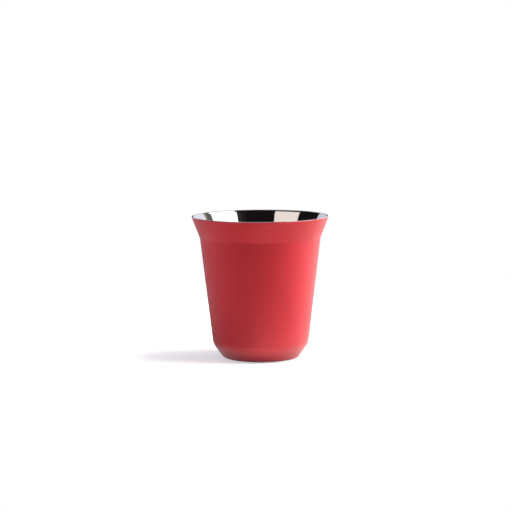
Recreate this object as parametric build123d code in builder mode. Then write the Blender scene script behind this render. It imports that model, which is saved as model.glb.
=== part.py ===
from build123d import *
from itertools import pairwise
from math import asin, atan2, cos, pi, sin
import os

os.makedirs("parts", exist_ok=True)

# A small double-walled steel cup with no handle. It stands on its foot ring at the origin, +Z up.
# Each wall is one line of the cup's section, given the thickness of its sheet and turned about Z.
# All lengths are in millimetres, and the widths here are for one side of the section.

# Outside of the cup
rim_diameter = 62.0
cup_height = 64.5
flare_height = 9.8
flare_width = 3.64
body_narrowing = 5.64
bevel_height = 6.4
bevel_width = 4.63
foot_ring_width = 3.1
waist_rounding = 4.0
bevel_rounding = 5.7
foot_rounding = 2.2

# Steel sheets
shell_thickness = 0.4
liner_thickness = 0.4
plate_thickness = 0.5

# Inner cup: it lies against the shell just under the lip, then leaves it to open the air gap
lip_land = 0.5
air_gap = 2.2
liner_waist_drop = 3.0
liner_waist_rounding = 18.0
floor_height = 5.6
floor_rounding = 6.0

# Underside: the foot steps up to a ledge, and the base plate sits against the ledge from below
plate_recess = 0.9
ledge_width = 1.6
base_weld_width = 0.4
panel_margin = 3.4
panel_rise = 0.4
panel_slope = 0.9

# Lip: a half round as wide as the two walls, whose side the flare meets at a tangent
lip_radius = (shell_thickness + liner_thickness) / 2
lip_center = Vector(rim_diameter / 2 - lip_radius, cup_height - lip_radius)
waist = Vector(rim_diameter / 2 - flare_width, cup_height - flare_height)
to_lip = lip_center - waist
flare_lean = atan2(to_lip.X, to_lip.Y) + asin(lip_radius / to_lip.length)
up_flare = Vector(sin(flare_lean), cos(flare_lean))
out_of_flare = Vector(cos(flare_lean), -sin(flare_lean))
shell_lip = lip_center + out_of_flare * lip_radius
liner_lip = lip_center - out_of_flare * lip_radius

# Corners of the shell's outer face below the waist, before they are rounded
bevel = Vector(waist.X - body_narrowing, bevel_height)
foot_radius = bevel.X - bevel_width
ledge_height = plate_recess + plate_thickness
seat_radius = foot_radius - foot_ring_width
ledge_radius = seat_radius - ledge_width

with BuildPart() as outer_shell:
    with BuildSketch(Plane.XZ):
        with BuildLine():
            FilletPolyline(
                shell_lip,
                waist,
                bevel,
                (foot_radius, 0),
                (seat_radius, 0),
                (seat_radius, ledge_height),
                (ledge_radius, ledge_height),
                radius=[waist_rounding, bevel_rounding, foot_rounding, 0, 0],
            )
            offset(amount=shell_thickness, side=Side.RIGHT, kind=Kind.INTERSECTION)
        make_face()
    revolve(axis=Axis.Z)
outer_shell.part.label = "outer_shell"

# The liner's inner face runs parallel to the body, inside both walls and the air between them
down_body = (bevel - waist).normalized()
into_cup = Vector(down_body.Y, -down_body.X)
wall_depth = shell_thickness + air_gap + liner_thickness
liner_waist = waist + into_cup * wall_depth + down_body * liner_waist_drop
floor_corner = liner_waist + down_body * ((floor_height - liner_waist.Y) / down_body.Y)

with BuildPart() as inner_cup:
    with BuildSketch(Plane.XZ):
        with BuildLine():
            FilletPolyline(
                liner_lip,
                liner_lip - up_flare * lip_land,
                liner_waist,
                floor_corner,
                (0, floor_height),
                radius=[0, liner_waist_rounding, floor_rounding],
            )
            offset(amount=liner_thickness, side=Side.LEFT, kind=Kind.INTERSECTION)
        make_face()
    revolve(axis=Axis.Z)
inner_cup.part.label = "inner_cup"

# The seam fuses the two cut edges of the walls. Its half round is ground as narrow flats, each one
# touching the round where it faces this far from straight up, from the liner's side to the shell's.
flat_facings = [flare_lean - pi / 2, -pi / 4, 0, pi / 4, pi / 2, flare_lean + pi / 2]
lip_corners = []
for here, after in pairwise(flat_facings):
    middle = (here + after) / 2
    reach = lip_radius / cos((after - here) / 2)
    lip_corners.append(lip_center + Vector(sin(middle), cos(middle)) * reach)

with BuildPart() as rim_weld:
    with BuildSketch(Plane.XZ):
        with BuildLine():
            Polyline(liner_lip, *lip_corners, shell_lip, close=True)
        make_face()
    revolve(axis=Axis.Z)
rim_weld.part.label = "rim_weld"

# The plate stops short of the step by the seam's width, and its middle is pressed up to stiffen it
plate_radius = seat_radius - base_weld_width
panel_radius = plate_radius - panel_margin

with BuildPart() as base_plate:
    with BuildSketch(Plane.XZ):
        with BuildLine():
            Polyline(
                (plate_radius, plate_recess),
                (panel_radius, plate_recess),
                (panel_radius - panel_slope, plate_recess + panel_rise),
                (0, plate_recess + panel_rise),
            )
            offset(amount=plate_thickness, side=Side.RIGHT, kind=Kind.INTERSECTION)
        make_face()
    revolve(axis=Axis.Z)
base_plate.part.label = "base_plate"

# The seam fills the groove between the plate's edge and the step, ground level with the plate
with BuildPart() as base_weld:
    with BuildSketch(Plane.XY.offset(plate_recess)):
        Circle(seat_radius)
        Circle(plate_radius, mode=Mode.SUBTRACT)
    extrude(amount=plate_thickness)
base_weld.part.label = "base_weld"

export_step(outer_shell.part, "parts/outer_shell.step")
export_step(inner_cup.part, "parts/inner_cup.step")
export_step(rim_weld.part, "parts/rim_weld.step")
export_step(base_plate.part, "parts/base_plate.step")
export_step(base_weld.part, "parts/base_weld.step")
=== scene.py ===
# %% [markdown]
# # A small double-walled steel cup
#
# The cup is two thin drawn steel cups, one inside the other, welded together at the lip. The outer
# one has a matte red coat and the inner one a mirror polish. A plate welded in under the foot closes
# the space between them. This lesson starts from the measured CAD solids and gives each wall a smooth
# surface, a finish and a light in which it can be judged.
#
# The CAD solids give every size. All lengths here are metres, +Z is up, and the cup stands at the
# origin with its axis on Z.

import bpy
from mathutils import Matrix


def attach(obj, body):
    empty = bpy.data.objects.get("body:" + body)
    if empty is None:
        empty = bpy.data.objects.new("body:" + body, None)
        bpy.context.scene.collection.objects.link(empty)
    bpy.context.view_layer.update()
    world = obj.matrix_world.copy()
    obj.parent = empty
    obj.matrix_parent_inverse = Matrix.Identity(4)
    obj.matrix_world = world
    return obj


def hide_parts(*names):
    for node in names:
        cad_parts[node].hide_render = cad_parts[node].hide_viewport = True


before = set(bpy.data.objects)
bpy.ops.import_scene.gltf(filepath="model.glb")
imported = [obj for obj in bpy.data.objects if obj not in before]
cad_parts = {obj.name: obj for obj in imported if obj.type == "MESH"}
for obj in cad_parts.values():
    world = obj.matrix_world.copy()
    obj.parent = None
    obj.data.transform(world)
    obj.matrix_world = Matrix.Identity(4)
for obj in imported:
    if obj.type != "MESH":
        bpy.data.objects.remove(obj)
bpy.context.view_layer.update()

# %% [markdown]
# Blender's unit is the metre, while a cup is thought of in millimetres. Its lengths are therefore
# written as a number times MM. Every turned piece has the same number of steps, so that neighbouring
# pieces have their facets in the same places and meet without gaps.

# %% Modules and units
from itertools import pairwise
from math import asin, atan2, cos, degrees, hypot, pi, radians, sin, tan

import bmesh
import bpy
from mathutils import Matrix, Vector

MM = 0.001
ROUND_STEPS = 192

# %% [markdown]
# ## The section of the cup
#
# Turned metal is easiest to understand as one line, the section, that is swept round the axis. The
# section could be read back from the CAD mesh, but that mesh is only flat facets. It is shorter and
# more exact to work the same few corners out again from the driving sizes.

# %% Driving sizes of the section
rim_radius = 31.0 * MM
cup_height = 64.5 * MM
flare_height = 9.8 * MM
flare_width = 3.64 * MM
body_narrowing = 5.64 * MM
bevel_height = 6.4 * MM
bevel_width = 4.63 * MM
foot_ring_width = 3.1 * MM
sheet = 0.4 * MM
air_gap = 2.2 * MM
liner_floor_height = 5.6 * MM
liner_land = 0.5 * MM
liner_waist_drop = 3.0 * MM

plate_recess = 0.9 * MM
plate_thickness = 0.5 * MM
ledge_width = 1.6 * MM
print("cup", round(2 * rim_radius / MM, 2), "mm over the lip,", round(cup_height / MM, 2), "mm high")

# %% [markdown]
# The corners are worked out as a toolmaker would set them out. The lip is a half round as wide as both
# sheets, and the flare meets its side at a tangent, which gives the flare's lean. The liner keeps its
# distance from the shell's straight body, down to the floor.

# %% Corners that follow from the sizes
lip_radius = sheet
lip_center = Vector((rim_radius - lip_radius, cup_height - lip_radius))
waist = Vector((rim_radius - flare_width, cup_height - flare_height))
to_lip = lip_center - waist
flare_lean = atan2(to_lip.x, to_lip.y) + asin(lip_radius / to_lip.length)
up_flare = Vector((sin(flare_lean), cos(flare_lean)))
out_of_flare = Vector((cos(flare_lean), -sin(flare_lean)))
shell_lip = lip_center + out_of_flare * lip_radius
liner_lip = lip_center - out_of_flare * lip_radius

bevel = Vector((waist.x - body_narrowing, bevel_height))
foot = Vector((bevel.x - bevel_width, 0))
seat = Vector((foot.x - foot_ring_width, 0))
step = Vector((seat.x, plate_recess + plate_thickness))
ledge = Vector((step.x - ledge_width, step.y))

down_body = (bevel - waist).normalized()
into_cup = Vector((down_body.y, -down_body.x))
land_end = liner_lip - up_flare * liner_land
liner_waist = waist + into_cup * (2 * sheet + air_gap) + down_body * liner_waist_drop
floor_corner = liner_waist + down_body * ((liner_floor_height - liner_waist.y) / down_body.y)
print("flare leans out by", round(degrees(flare_lean), 2), "degrees")
print("liner waist, mm:", [round(v / MM, 2) for v in liner_waist])

# %% [markdown]
# ## Helpers for turning metal by hand
#
# A Blender operator acts on whatever is selected, and a freshly loaded scene has things selected. So
# every piece starts by deselecting all. Its first ring is a circle primitive, and each further ring is
# made as a person would make it: extrude the ring, move it down the axis, then scale it to its radius.

# %% Rings that are extruded along a section
def ring_start(name, point):
    """A new object in edit mode with one ring of the section, selected."""
    bpy.ops.object.select_all(action="DESELECT")
    bpy.ops.mesh.primitive_circle_add(vertices=ROUND_STEPS, radius=point.x, location=(0, 0, point.y))
    piece = bpy.context.object
    piece.name = name
    bpy.ops.object.transform_apply(location=True, rotation=True, scale=True)
    bpy.ops.object.mode_set(mode="EDIT")
    bpy.ops.mesh.select_mode(type="EDGE")
    bpy.ops.mesh.select_all(action="SELECT")
    return piece


def ring_to(here, there):
    """Extrudes the selected ring from one point of the section to the next."""
    bpy.ops.mesh.extrude_region_move(TRANSFORM_OT_translate={"value": (0, 0, there.y - here.y)})
    share = there.x / here.x
    bpy.ops.transform.resize(value=(share, share, 1), center_override=(0, 0, there.y))


def rings_along(name, points):
    """A surface through all the points of a section, open at both ends and still in edit mode."""
    piece = ring_start(name, points[0])
    for here, there in pairwise(points):
        ring_to(here, there)
    return piece


# %% [markdown]
# By hand, one would click the edges of a ring. In code they are found by their place in the section,
# which stays true when a number above is changed, whereas the index of an edge would not.

# %% Selecting edges by their place
CLOSE = 0.01 * MM


def section_point(vertex):
    """Where a vertex is in the section: its distance from the axis, and its height."""
    return Vector((hypot(vertex.co.x, vertex.co.y), vertex.co.z))


def select_edges(piece, start, end):
    """Selects every edge that runs from one point of the section to another."""
    bpy.ops.mesh.select_all(action="DESELECT")
    bpy.ops.object.mode_set(mode="OBJECT")
    places = [section_point(vertex) for vertex in piece.data.vertices]
    at_start = [(place - start).length < CLOSE for place in places]
    at_end = [(place - end).length < CLOSE for place in places]
    for edge in piece.data.edges:
        here, there = edge.vertices
        edge.select = (at_start[here] and at_end[there]) or (at_start[there] and at_end[here])
    bpy.ops.object.mode_set(mode="EDIT")


def select_vertices(piece, wanted):
    """Selects the vertices for which wanted(vertex) is true."""
    bpy.ops.object.mode_set(mode="EDIT")
    bpy.ops.mesh.select_mode(type="VERT")
    bpy.ops.mesh.select_all(action="DESELECT")
    bpy.ops.object.mode_set(mode="OBJECT")
    for vertex in piece.data.vertices:
        vertex.select = wanted(vertex)
    bpy.ops.object.mode_set(mode="EDIT")


def select_ring(piece, point):
    """Selects the ring of edges that goes round through a point of the section."""
    select_edges(piece, point, point)


def round_crease(piece, before, corner, after, radius, segments):
    """Bevels the ring at a corner of the section into an arc, and returns the two ends of the arc."""
    turn = (corner - before).angle(after - corner)
    reach = radius * tan(turn / 2)
    select_ring(piece, corner)
    bpy.ops.mesh.bevel(offset=reach, offset_type="OFFSET", segments=segments, profile=0.5)
    print(piece.name, "turns", round(degrees(turn), 1), "degrees, radius", round(radius / MM, 2), "mm")
    return [corner + (end - corner).normalized() * reach for end in (before, after)]


# %% [markdown]
# Long narrow quads shade badly, because the shading is averaged at their far ends. Each straight
# stretch is therefore cut into bands a few millimetres high, once its ends are rounded. The cut goes
# across all the edges that join two rings.

# %% Bands across a straight stretch
def band(piece, start, end, height):
    """Divides a straight stretch into bands of about this height."""
    cuts = max(round((end - start).length / height) - 1, 1)
    select_edges(piece, start, end)
    bpy.ops.mesh.subdivide(number_cuts=cuts)


# %% [markdown]
# A sheet is modelled as a single surface, and Solidify then gives it its thickness. The faces have to
# point outwards before that, because the modifier grows the wall along them. Shading is smooth where
# faces meet at less than 30 degrees, so the roundings look round and the cut edges stay crisp. The
# volume is printed as a check: a piece that is inside out would show a negative one.

# %% Walls, shading and measures
DOUBLE = 0.001 * MM
SMOOTH_BELOW = radians(30)


def outward(piece):
    """Merges doubles and turns every face of a surface the same way, then leaves edit mode."""
    bpy.ops.mesh.select_all(action="SELECT")
    bpy.ops.mesh.remove_doubles(threshold=DOUBLE)
    bpy.ops.mesh.normals_make_consistent(inside=False)
    bpy.ops.object.mode_set(mode="OBJECT")


def give_wall(piece, thickness, side):
    """Solidifies a surface: side -1 grows the wall behind the face, and 1 in front of it."""
    wall = piece.modifiers.new("wall", "SOLIDIFY")
    wall.thickness = thickness
    wall.offset = side
    wall.use_even_offset = True
    wall.use_quality_normals = True
    bpy.context.view_layer.objects.active = piece
    bpy.ops.object.modifier_apply(modifier=wall.name)


def volume(piece):
    """The volume inside a closed mesh, which comes out negative if its faces point inwards."""
    solid = bmesh.new()
    solid.from_mesh(piece.data)
    inside = solid.calc_volume(signed=True)
    solid.free()
    return inside


def finish_piece(piece, slot, *nodes):
    """Smooths the shading, sets what the piece rides on and stands for, and prints its size."""
    bpy.ops.object.select_all(action="DESELECT")
    piece.select_set(True)
    bpy.context.view_layer.objects.active = piece
    bpy.ops.object.shade_smooth_by_angle(angle=SMOOTH_BELOW)
    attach(piece, "root")
    if nodes:
        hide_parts(*nodes)
    size = [round(v / MM, 2) for v in piece.dimensions]
    print(piece.name, "faces", len(piece.data.polygons), "size, mm", size,
          "volume, mm3", round(volume(piece) / MM ** 3, 1))


# %% [markdown]
# ## The outer shell
#
# On the real cup this is one sheet, drawn into a tapered cup, with a flare rolled out at the top and a
# bevelled foot pressed in at the bottom. It could be a cylinder primitive bent to shape, but extruding
# ring by ring keeps every corner where the section has it. The creases are soft, so they are bevelled
# into arcs. The wall comes last, grown inwards, so that the outside stays exact.

# %% Outer shell
waist_rounding = 4.0 * MM
bevel_rounding = 5.7 * MM
foot_rounding = 2.2 * MM

shell = rings_along("red_shell", [shell_lip, waist, bevel, foot, seat, step, ledge])
waist_arc = round_crease(shell, shell_lip, waist, bevel, waist_rounding, segments=6)
bevel_arc = round_crease(shell, waist, bevel, foot, bevel_rounding, segments=10)
foot_arc = round_crease(shell, bevel, foot, seat, foot_rounding, segments=10)
band(shell, shell_lip, waist_arc[0], height=1.5 * MM)
band(shell, waist_arc[1], bevel_arc[0], height=3 * MM)
band(shell, bevel_arc[1], foot_arc[0], height=1.5 * MM)
outward(shell)
give_wall(shell, sheet, -1)
finish_piece(shell, "red_coat", "outer_shell")

# %% [markdown]
# ## The inner cup
#
# The liner lies against the shell for the last half millimetre under the lip, then leaves it, and its
# floor turns up in a generous rounding that a finger can wipe. It could share the shell's bands, but it
# is a mirror, and a mirror shows every facet that a matte coat would hide. So its flare is cut finer.
# The floor ends in a tiny ring, which is closed by merging a copy of it in the middle.

# %% Inner cup
liner_land_rounding = 1.0 * MM
liner_waist_rounding = 18.0 * MM
floor_rounding = 6.0 * MM
floor_ring = Vector((3 * MM, liner_floor_height))
floor_pip = Vector((0.5 * MM, liner_floor_height))

liner_corners = [liner_lip, land_end, liner_waist, floor_corner, floor_ring, floor_pip]
liner = rings_along("steel_liner", liner_corners)
bpy.ops.mesh.extrude_region_move()
bpy.ops.mesh.merge(type="CENTER")
land_arc = round_crease(liner, liner_lip, land_end, liner_waist, liner_land_rounding, segments=2)
liner_arc = round_crease(
    liner, land_end, liner_waist, floor_corner, liner_waist_rounding, segments=10
)
floor_arc = round_crease(liner, liner_waist, floor_corner, floor_ring, floor_rounding, segments=16)
band(liner, land_arc[1], liner_arc[0], height=1 * MM)
band(liner, liner_arc[1], floor_arc[0], height=3 * MM)
band(liner, floor_arc[1], floor_ring, height=2 * MM)
outward(liner)
give_wall(liner, sheet, 1)
finish_piece(liner, "polished_steel", "inner_cup")

# %% [markdown]
# ## The seam at the lip
#
# The two sheets end side by side and are melted into one bead, which is ground round and polished. The
# coat is sprayed on from outside, so it runs up over the outer side of the bead and stops short of its
# crown. What stays bare is a line a little under a millimetre wide. A torus primitive would put half of
# its tube inside the walls. So each part is drawn as a slice of a small disc and spun round the axis:
# one slice for the bare steel and one for the coated edge.

# %% Lip seam
disc_points = 96
angle_slack = 0.01
coat_edge = radians(45)


def lip_ring(name, start, end):
    """A ring whose section is a slice of the lip's disc, between two angles from the flare's line."""
    bpy.ops.object.select_all(action="DESELECT")
    bpy.ops.mesh.primitive_circle_add(
        vertices=disc_points,
        radius=lip_radius,
        fill_type="TRIFAN",
        location=(lip_center.x, 0, lip_center.y),
        rotation=(pi / 2, flare_lean, 0),
    )
    piece = bpy.context.object
    piece.name = name
    bpy.ops.object.transform_apply(location=True, rotation=True, scale=True)

    def outside_slice(vertex):
        from_center = section_point(vertex) - lip_center
        angle = atan2(from_center.dot(out_of_flare), from_center.dot(up_flare))
        on_disc_edge = from_center.length > lip_radius / 2
        return on_disc_edge and not start - angle_slack < angle < end + angle_slack

    select_vertices(piece, outside_slice)
    bpy.ops.mesh.delete(type="VERT")
    bpy.ops.mesh.select_mode(type="FACE")
    bpy.ops.mesh.select_all(action="SELECT")
    bpy.ops.mesh.dissolve_faces()
    bpy.ops.mesh.delete(type="ONLY_FACE")
    bpy.ops.mesh.select_mode(type="EDGE")
    bpy.ops.mesh.select_all(action="SELECT")
    bpy.ops.mesh.spin(steps=ROUND_STEPS, angle=2 * pi, center=(0, 0, 0), axis=(0, 0, 1))
    outward(piece)
    return piece


lip = lip_ring("lip_seam", -pi / 2, coat_edge)
finish_piece(lip, "polished_steel", "rim_weld")
lip_coat = lip_ring("lip_coat", coat_edge, pi / 2)
finish_piece(lip_coat, "red_coat", "rim_weld")

# %% [markdown]
# ## Finishes
#
# A finish is a small tree of nodes behind one Principled shader. Wiring it by hand in code is long, so
# one small class wraps a socket: a sum or a product of two of them adds the Math node that does it.
# A second class holds the material. One of its methods adds any node, and a few short ones add those
# that are used often. Every pattern reads Object coordinates, so its scale is that of the real metal.

# %% Shader sockets as numbers
class Signal:
    """A node's output socket that can be used in an expression."""

    def __init__(self, finish, socket):
        self.finish = finish
        self.socket = socket

    def math(self, operation, first, second):
        return self.finish.node("ShaderNodeMath", {"operation": operation}, {0: first, 1: second})

    def __add__(self, other):
        return self.math("ADD", self, other)

    def __sub__(self, other):
        return self.math("SUBTRACT", self, other)

    def __mul__(self, other):
        return self.math("MULTIPLY", self, other)

    def __rsub__(self, other):
        return self.math("SUBTRACT", other, self)

    __radd__ = __add__
    __rmul__ = __mul__


class Finish:
    """A material whose nodes are added by one method."""

    def __init__(self, name):
        self.material = bpy.data.materials.new(name)
        self.material.use_nodes = True
        self.tree = self.material.node_tree
        self.shader = self.tree.nodes["Principled BSDF"]

    def node(self, kind, settings=None, inputs=None, output=0):
        """Adds a node, sets it up, fills its sockets and returns one output as a Signal."""
        node = self.tree.nodes.new(kind)
        for name, value in (settings or {}).items():
            setattr(node, name, value)
        self.fill(node, inputs or {})
        return Signal(self, node.outputs[output])

    def fill(self, node, inputs):
        """Sets sockets to values, and links those that are given a Signal."""
        for name, value in inputs.items():
            if isinstance(value, Signal):
                self.tree.links.new(value.socket, node.inputs[name])
            else:
                node.inputs[name].default_value = value

    def place(self, scale=(1, 1, 1)):
        """Object coordinates, stretched by a scale."""
        coordinates = self.node("ShaderNodeTexCoord", output="Object")
        return self.node("ShaderNodeMapping", inputs={"Vector": coordinates, "Scale": scale})

    def noise(self, size, detail=2.0, stretch=(1, 1, 1)):
        """Noise from 0 to 1, whose blotches are about this long in metres."""
        return self.node(
            "ShaderNodeTexNoise",
            inputs={"Vector": self.place(stretch), "Scale": 1 / size, "Detail": detail},
        )

    def blend(self, share, first, second):
        """A colour between two others."""
        return self.node(
            "ShaderNodeMix",
            {"data_type": "RGBA"},
            {"Factor": share, 6: first, 7: second},
            output=2,
        )

    def bump(self, height, depth):
        """Normals for a surface whose height signal of 1 stands this many metres proud."""
        return self.node("ShaderNodeBump", inputs={"Height": height, "Distance": depth})

    def glow(self, color, strength=1.0):
        """A shader that shines by itself."""
        return self.node("ShaderNodeEmission", inputs={"Color": color, "Strength": strength})

    def show(self, shader):
        """Puts this shader on the surface in place of the Principled one."""
        self.tree.links.new(shader.socket, self.tree.nodes["Material Output"].inputs["Surface"])

    def wear_on(self, *pieces):
        """Makes this the only finish of these pieces, and prints what was done."""
        for piece in pieces:
            piece.data.materials.clear()
            piece.data.materials.append(self.material)
        worn_by = [piece.name for piece in pieces]
        print(self.material.name, "has", len(self.tree.nodes), "nodes and is worn by", worn_by)


def linear(red, green, blue):
    """A colour for a shader from the 0 to 255 numbers that a colour picker shows."""
    steps = [value / 255 for value in (red, green, blue)]
    bright = [s / 12.92 if s <= 0.04045 else ((s + 0.055) / 1.055) ** 2.4 for s in steps]
    return (*bright, 1.0)


# %% [markdown]
# ## The red coat
#
# The coat is a matte baked paint, deep red when seen straight on, yet pale along the outline, where
# light grazes it. A rough gloss alone would be pale only under a lamp. Sheen is pale all along the
# outline, as on velvet, so a wide sheen with a pink tint is laid over the red. A small metallic share
# turns part of the gloss red, as fine flakes in a paint do. Close up the coat has the fine grain of
# sprayed paint, with slight clouds in colour and gloss.

# %% Red coat
coat = Finish("red_coat")
clouds = coat.noise(14 * MM)
grain = coat.noise(0.28 * MM, detail=3.0)
speckle = coat.noise(0.9 * MM)
deep_red = linear(208, 18, 41)
bright_red = linear(213, 20, 43)
pink_haze = linear(252, 213, 226)
coat.fill(coat.shader, {
    "Base Color": coat.blend(clouds, deep_red, bright_red),
    "Metallic": 0.10,
    "Specular IOR Level": 0.44,
    "Roughness": 0.34 + 0.06 * (speckle - 0.5) + 0.04 * (clouds - 0.5),
    "Normal": coat.bump(0.7 * grain + 0.3 * speckle, 0.012 * MM),
    "Sheen Weight": 0.54,
    "Sheen Roughness": 0.55,
    "Sheen Tint": pink_haze,
})
coat.wear_on(shell, lip_coat)

# %% [markdown]
# ## Polished and satin steel
#
# Polished steel is a mirror with the faintest marks: hair lines that run round the axis, left by the
# polishing wheel. A small scale on X and Y pulls each blotch of the noise out into a line, and the full
# scale on Z keeps it thin, so the lines run round the wall and not up it. They could be an anisotropic
# gloss instead, but the marks are so faint that a slight change of normal and gloss is enough.

# %% Polished steel
polish = Finish("polished_steel")
round_the_axis = (0.04, 0.04, 1)
rings = polish.noise(0.25 * MM, stretch=round_the_axis)
haze = polish.noise(9 * MM)
steel_dull = (0.90, 0.895, 0.885, 1)
steel_bright = (0.93, 0.925, 0.915, 1)
polish.fill(polish.shader, {
    "Base Color": polish.blend(haze, steel_dull, steel_bright),
    "Metallic": 1.0,
    "Roughness": 0.035 + 0.02 * haze + 0.01 * rings,
    "Normal": polish.bump(rings, 0.0004 * MM),
})
polish.wear_on(liner, lip)

# %% [markdown]
# The base plate and its seam are never seen in use, so nobody polishes them. They keep the satin of the
# rolled sheet, whose grain runs one way, here along X. Their shapes in the CAD solids are already
# final, so the CAD pieces stay as they are and only get this finish.

# %% Satin steel
satin = Finish("satin_steel")
along_x = (0.02, 1, 1)
rolled = satin.noise(0.18 * MM, detail=3.0, stretch=along_x)
stain = satin.noise(5 * MM)
satin_dark = (0.52, 0.515, 0.51, 1)
satin_light = (0.60, 0.595, 0.59, 1)
satin.fill(satin.shader, {
    "Base Color": satin.blend(stain, satin_dark, satin_light),
    "Metallic": 1.0,
    "Roughness": 0.30 + 0.12 * rolled + 0.05 * stain,
    "Normal": satin.bump(rolled, 0.004 * MM),
})
satin.wear_on(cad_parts["base_plate"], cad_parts["base_weld"])

# %% [markdown]
# ## The camera
#
# The photograph is taken with a long lens from a little above the lip, which is why the mouth is such
# a thin ellipse. A Track To constraint could aim the camera at the cup, but the cup isn't in the middle
# of the picture. So the place, the tilt, the slight roll and the lens are given as numbers, which come
# from fitting the cup's outline to the photograph. The two angles are in radians.

# %% Camera
camera_data = bpy.data.cameras.new("camera")
camera = bpy.data.objects.new("camera", camera_data)
bpy.context.scene.collection.objects.link(camera)
camera.location = (-1.96 * MM, -775 * MM, 136.4 * MM)
look_down = 0.1160
roll = -0.00586
camera.matrix_world = Matrix.Translation(camera.location) @ (
    Matrix.Rotation(pi / 2 - look_down, 4, "X") @ Matrix.Rotation(roll, 4, "Z")
)
camera_data.sensor_width = 36
camera_data.lens = 120.85
bpy.context.scene.camera = camera
print("camera", round(camera.location.length / MM), "mm away, looks down",
      round(degrees(look_down), 2), "degrees")

# %% [markdown]
# ## The studio
#
# The cup stands on white paper and is lit mostly from the right. Plain white paper would give a shadow
# that is too dark, and its bounce would drown the foot in light. So the paper is a disc whose finish
# differs by who looks at it, through the Light Path node:
#
# - the camera sees a pale grey with a small even glow, which keeps the cup's shadow pale, and which
#   turns to pure white towards the edge of the disc,
# - the light that the paper throws back is weaker near the cup, because the low part of the body gets
#   little light from below in the photograph,
# - a reflection sees a soft pool of light in front of the cup and to its right, which makes the
#   bevelled foot pale.

# %% Paper
paper_radius = 0.28
stage_steps = 96
bpy.ops.object.select_all(action="DESELECT")
bpy.ops.mesh.primitive_circle_add(
    vertices=stage_steps,
    radius=paper_radius,
    fill_type="NGON",
    location=(0, 0, 0),
)
floor = bpy.context.object
floor.name = "floor"
bpy.ops.object.transform_apply(location=True, rotation=True, scale=True)

paper = Finish("paper")
spot = paper.node("ShaderNodeTexCoord", output="Object")
seen = paper.node("ShaderNodeLightPath", output="Is Camera Ray")
mirrored = paper.node("ShaderNodeLightPath", output="Is Glossy Ray")
WHITE = (1, 1, 1, 1)


def distance_from(point):
    """How far the paper is from a point of it, in metres."""
    return paper.node(
        "ShaderNodeVectorMath",
        {"operation": "DISTANCE"},
        {0: spot, 1: point},
        output="Value",
    )


def rise(value, zero_at, one_at):
    """Goes from 0 to 1 while the value goes from one number to another, and stays there."""
    return paper.node("ShaderNodeMapRange", inputs={0: value, 1: zero_at, 2: one_at})


# %% What the camera and the bounced light see of the paper
paper_grey = (0.84, 0.84, 0.84, 1)
bounce_near = (0.40, 0.40, 0.40, 1)
bounce_far = (0.95, 0.95, 0.95, 1)
shadow_glow = (0.45, 0.478, 0.522, 1)

from_cup = distance_from((0, 0, 0))
# Painted shade: for bounced light the paper is darker next to the foot, 0.40 near it and 0.95 farther
# out.
away_from_foot = rise(from_cup, zero_at=15 * MM, one_at=90 * MM)
bounced = paper.blend(away_from_foot, bounce_near, bounce_far)
paper.fill(paper.shader, {
    "Base Color": paper.blend(seen, bounced, paper_grey),
    "Roughness": 0.9,
    "Specular IOR Level": 0.1,
})
lit = Signal(paper, paper.shader.outputs[0])
lifted = paper.node("ShaderNodeAddShader", inputs={0: lit, 1: paper.glow(shadow_glow, seen)})
outer_part = rise(from_cup, zero_at=140 * MM, one_at=270 * MM)
faded = paper.node(
    "ShaderNodeMixShader",
    inputs={0: seen * outer_part, 1: lifted, 2: paper.glow(WHITE)},
)

# %% What reflections see of the paper
# Painted light: the paper glows for reflections only, a painted pool of light in front of the cup and
# to its right.
pool_middle = (6 * MM, -28 * MM, 0)
pool_radius = 100 * MM
pool_strength = 2.4
pool_surround = 0.04

near = rise(distance_from(pool_middle), zero_at=pool_radius, one_at=0.0)
out_of_foot_shade = rise(from_cup, zero_at=14.5 * MM, one_at=24 * MM)
across = paper.node("ShaderNodeSeparateXYZ", inputs={0: spot}, output="X")
out_of_left_shadow = rise(across, zero_at=-50 * MM, one_at=0.0)
# The glow is cut by painted shade next to the foot and by a painted shadow to the left of the cup.
pool_shape = near * near * out_of_foot_shade * out_of_left_shadow
pool = paper.glow(WHITE, pool_surround + pool_strength * pool_shape)
paper.show(paper.node("ShaderNodeMixShader", inputs={0: mirrored, 1: faded, 2: pool}))
paper.wear_on(floor)

# %% [markdown]
# ## The sweep
#
# In a studio the paper curves up behind the object, so that no edge or corner shows. A curved sheet
# would look right from one side only. So a wide disc just under the paper shines pure white for the
# camera alone, from every side, and the world does the same above the horizon.

# %% Sweep around the paper
sweep_radius = 4
below_paper = -1 * MM
bpy.ops.object.select_all(action="DESELECT")
bpy.ops.mesh.primitive_circle_add(
    vertices=stage_steps,
    radius=sweep_radius,
    fill_type="NGON",
    location=(0, 0, below_paper),
)
sweep = bpy.context.object
sweep.name = "sweep"
bpy.ops.object.transform_apply(location=True, rotation=True, scale=True)
sweep_white = Finish("sweep")
sweep_seen = sweep_white.node("ShaderNodeLightPath", output="Is Camera Ray")
sweep_white.show(sweep_white.glow(WHITE, sweep_seen))
sweep_white.wear_on(sweep)
sweep.visible_diffuse = False

# %% [markdown]
# ## Panels for the mirror
#
# The polished inside is a mirror, so what it shows is the studio itself: white and pale panels with
# dark gaps between them. Real panels would stand in the picture of another view. So each panel is a
# piece of a dome round the cup that only reflections see. A sphere is cut by four planes through its
# middle: two upright ones at the panel's ends and two that tilt with its lower and upper edge.

# %% Helpers for panels
dome_radius = 0.7


def toward(around, up):
    """A direction from the cup, by its angle from straight in front to the right, and its rise."""
    turn, lift = radians(around), radians(up)
    return Vector((sin(turn) * cos(lift), -cos(turn) * cos(lift), sin(lift)))


def show_in_reflections(piece, color):
    """Makes a piece glow, so that reflections see it and nothing else does."""
    glowing = Finish(piece.name)
    glowing.show(glowing.glow((*color, 1)))
    glowing.wear_on(piece)
    piece.visible_camera = False
    piece.visible_diffuse = False
    piece.visible_shadow = False
    piece.visible_transmission = False


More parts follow.
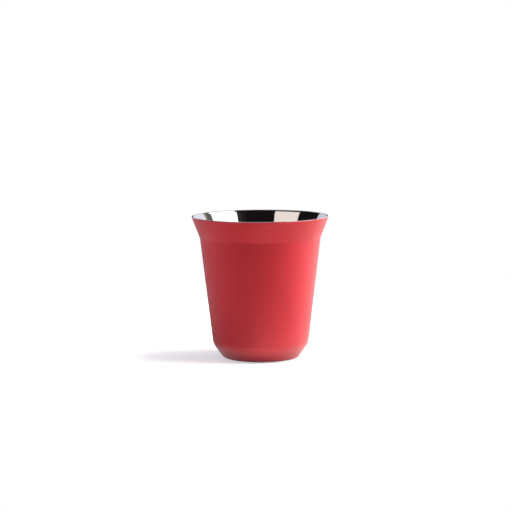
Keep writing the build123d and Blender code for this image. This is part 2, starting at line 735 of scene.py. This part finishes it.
def panel(name, left, right, low, high, color):
    """A glowing piece of a dome round the cup, from one angle round to another.

    Its lower and upper edges are each given by their rise at the left end and at the right end.
    """
    cuts = [
        toward(left - 90, 0),
        toward(right + 90, 0),
        toward(right, low[1]).cross(toward(left, low[0])),
        toward(left, high[0]).cross(toward(right, high[1])),
    ]
    bpy.ops.object.select_all(action="DESELECT")
    bpy.ops.mesh.primitive_uv_sphere_add(segments=stage_steps, ring_count=48, radius=dome_radius)
    piece = bpy.context.object
    piece.name = name
    bpy.ops.object.mode_set(mode="EDIT")
    for outside in cuts:
        bpy.ops.mesh.select_all(action="SELECT")
        bpy.ops.mesh.bisect(plane_co=(0, 0, 0), plane_no=outside, clear_outer=True)
    bpy.ops.object.mode_set(mode="OBJECT")
    show_in_reflections(piece, color)
    print(name, "has", len(piece.data.polygons), "faces")


# %% [markdown]
# Each panel lies where the mirror shows it as one of the bands inside the mouth: the warm card at the
# right, two nearly black walls, a bright softbox at the left with a grey gap and a thin brown edge
# beside it, and two bluish pieces behind the cup, which fill the two ends of the mouth.

# %% Panels that the polish reflects
panel("warm_card", left=-88, right=-34.5, low=(36.5, 47), high=(45, 57), color=(0.88, 0.79, 0.74))
panel("dim_wall", left=34, right=44, low=(0, 0), high=(58, 58), color=(0.016, 0.013, 0.013))
panel("dim_edge", left=44, right=53.3, low=(0, 0), high=(58, 58), color=(0.030, 0.024, 0.024))
panel("softbox", left=53.3, right=110, low=(10, 10), high=(56, 40), color=(1.5, 1.5, 1.5))
panel("dim_gap", left=110, right=122, low=(0, 0), high=(38, 38), color=(0.115, 0.110, 0.105))
panel("brown_edge", left=122, right=127, low=(0, 0), high=(38, 38), color=(0.30, 0.22, 0.17))
panel("back_right", left=127, right=174, low=(0, 0), high=(38, 44), color=(0.82, 0.84, 0.92))
panel("back_left", left=-168, right=-135.5, low=(0, 0), high=(60, 60), color=(0.60, 0.60, 0.68))

# %% [markdown]
# ## The ceiling
#
# From the photograph's side the polished inside shows nothing that is overhead. From above, it would
# show only a dark room and look black. A lamp could fill it, but it would light the coat as well. So a
# plain disc that only reflections see stands for a bright ceiling. It is tilted to face the cup, and
# lies where it doesn't enter the bands in the photograph's mouth.

# %% Ceiling light that looks down into the cup
ceiling_way = toward(180, 75)
ceiling_spread = radians(25)
bpy.ops.object.select_all(action="DESELECT")
bpy.ops.mesh.primitive_circle_add(
    vertices=stage_steps,
    radius=dome_radius * tan(ceiling_spread),
    fill_type="NGON",
    location=dome_radius * ceiling_way,
    rotation=ceiling_way.to_track_quat("Z", "Y").to_euler(),
)
ceiling = bpy.context.object
ceiling.name = "ceiling"
bpy.ops.object.transform_apply(location=True, rotation=True, scale=True)
show_in_reflections(ceiling, (0.62, 0.63, 0.66))

# %% [markdown]
# ## Lamps
#
# The photograph is lit from the right: the right side of the cup is the brightest, the left a deep red,
# and a pale shadow falls to the left. One lamp alone would leave the far side black. So a large lamp
# high at the right does most of the work, two weaker ones at the right come from lower down and from
# farther back, one is overhead, and a cool one at the left stands for a white card there. The polished
# steel would show them as squares, so reflections don't see them, and the panels take that part.

# %% Lamps
cup_middle = Vector((0, 0, 30 * MM))


def lamp(name, around, up, away, size, watts, color=(1, 1, 1)):
    """A soft rectangular lamp that faces the cup, placed by its angles seen from the cup."""
    data = bpy.data.lights.new(name, "AREA")
    data.shape = "RECTANGLE"
    data.size, data.size_y = size
    data.energy = watts
    data.color = color
    body = bpy.data.objects.new(name, data)
    bpy.context.scene.collection.objects.link(body)
    body.location = cup_middle + toward(around, up) * away
    body.rotation_euler = toward(around, up).to_track_quat("Z", "Y").to_euler()
    body.visible_camera = False
    body.visible_glossy = False
    print("lamp", name, watts, "W, from", around, "degrees round and", up, "degrees up")


warm_white = (1.0, 0.93, 0.80)
warmer_white = (1.0, 0.93, 0.76)
cool_white = (0.97, 0.94, 1.0)

lamp("key", around=84, up=57, away=1.0, size=(0.6, 0.6), watts=14.2, color=warm_white)
lamp("top", around=180, up=85, away=1.0, size=(0.8, 0.8), watts=3.0)
lamp("low_side", around=94, up=12, away=0.9, size=(0.5, 0.4), watts=4.2, color=warmer_white)
lamp("back_side", around=112, up=28, away=1.0, size=(0.5, 0.5), watts=4.0, color=warmer_white)
lamp("left_card", around=-96, up=22, away=1.0, size=(0.6, 0.5), watts=3.1, color=cool_white)

# %% [markdown]
# ## The world
#
# The world is white where the camera looks past everything, and almost black for light and reflections.
# A white world would be simpler, but it would light the cup from all sides and fill the mirror with
# white, and the dark bands inside the mouth would be lost.

# %% World
dark_room = (0.008, 0.006, 0.007, 1)

world = bpy.data.worlds.new("world")
bpy.context.scene.world = world
world.use_nodes = True
nodes = world.node_tree.nodes
links = world.node_tree.links
ambient = nodes["Background"]
ambient.inputs["Color"].default_value = dark_room
ambient.inputs["Strength"].default_value = 1.0
backdrop = nodes.new("ShaderNodeBackground")
backdrop.inputs["Color"].default_value = WHITE
backdrop.inputs["Strength"].default_value = 1.0
world_rays = nodes.new("ShaderNodeLightPath")
choose = nodes.new("ShaderNodeMixShader")
links.new(world_rays.outputs["Is Camera Ray"], choose.inputs[0])
links.new(ambient.outputs[0], choose.inputs[1])
links.new(backdrop.outputs[0], choose.inputs[2])
links.new(choose.outputs[0], nodes["World Output"].inputs["Surface"])
print("world nodes", len(nodes))

# %% [markdown]
# ## Colours as written
#
# Blender's usual view transform makes bright colours paler, as film does. Standard shows each colour as
# it was written, which is what a product picture needs.

# %% View settings
bpy.context.scene.view_settings.view_transform = "Standard"
